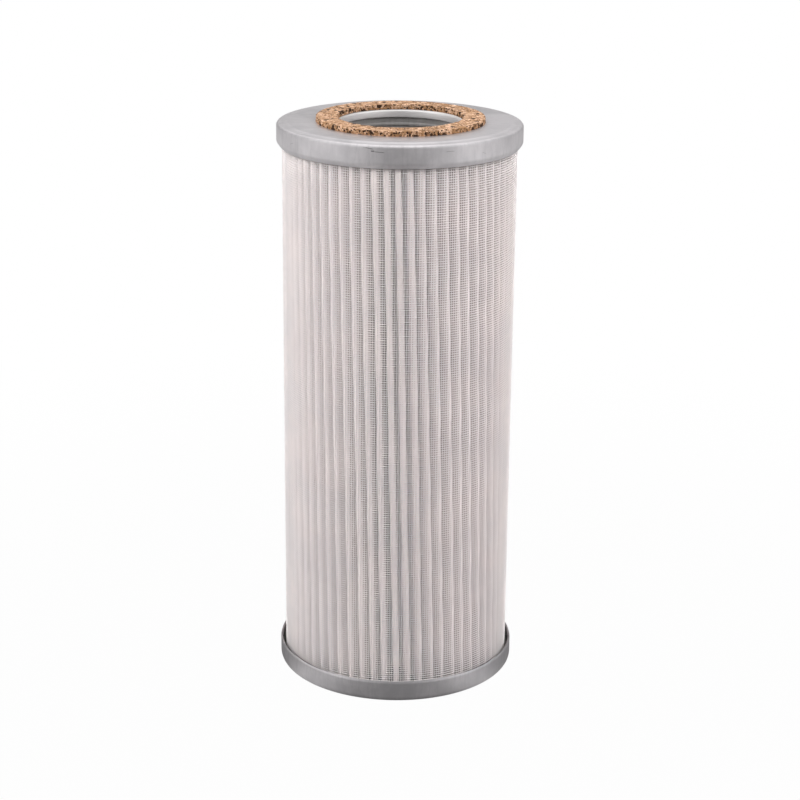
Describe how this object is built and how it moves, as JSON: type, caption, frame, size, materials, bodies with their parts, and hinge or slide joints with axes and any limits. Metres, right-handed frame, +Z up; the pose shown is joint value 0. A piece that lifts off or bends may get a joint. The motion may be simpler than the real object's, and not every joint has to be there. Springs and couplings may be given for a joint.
{
  "type": "hydraulic filter element",
  "caption": "Cylindrical pleated filter cartridge in a fine mesh sleeve, between two stamped steel end caps, with an open neck and a flat cork gasket on top.",
  "frame": {"origin": "centre of the bottom cap's standing face, on the element's axis", "axes": "+Z up the element's axis, towards the neck and the gasket"},
  "size_m": [0.099, 0.099, 0.235],
  "materials": {
    "cap_steel": "plain rolled sheet, satin, with fine scratches",
    "tube_steel": "plain rolled sheet, satin",
    "cork": "granulated cork, matte, with dark specks and open pores",
    "media": "matte folded filter media",
    "mesh": "pale matte woven mesh",
    "adhesive": "dull cast adhesive"
  },
  "bodies": {
    "root": {"top_end_cap": "cap_steel", "bottom_end_cap": "cap_steel", "cork_gasket": "cork", "centre_tube": "tube_steel", "pleated_media": "media", "mesh_sleeve": "mesh", "top_potting": "adhesive", "bottom_potting": "adhesive"}
  },
  "joints": []
}
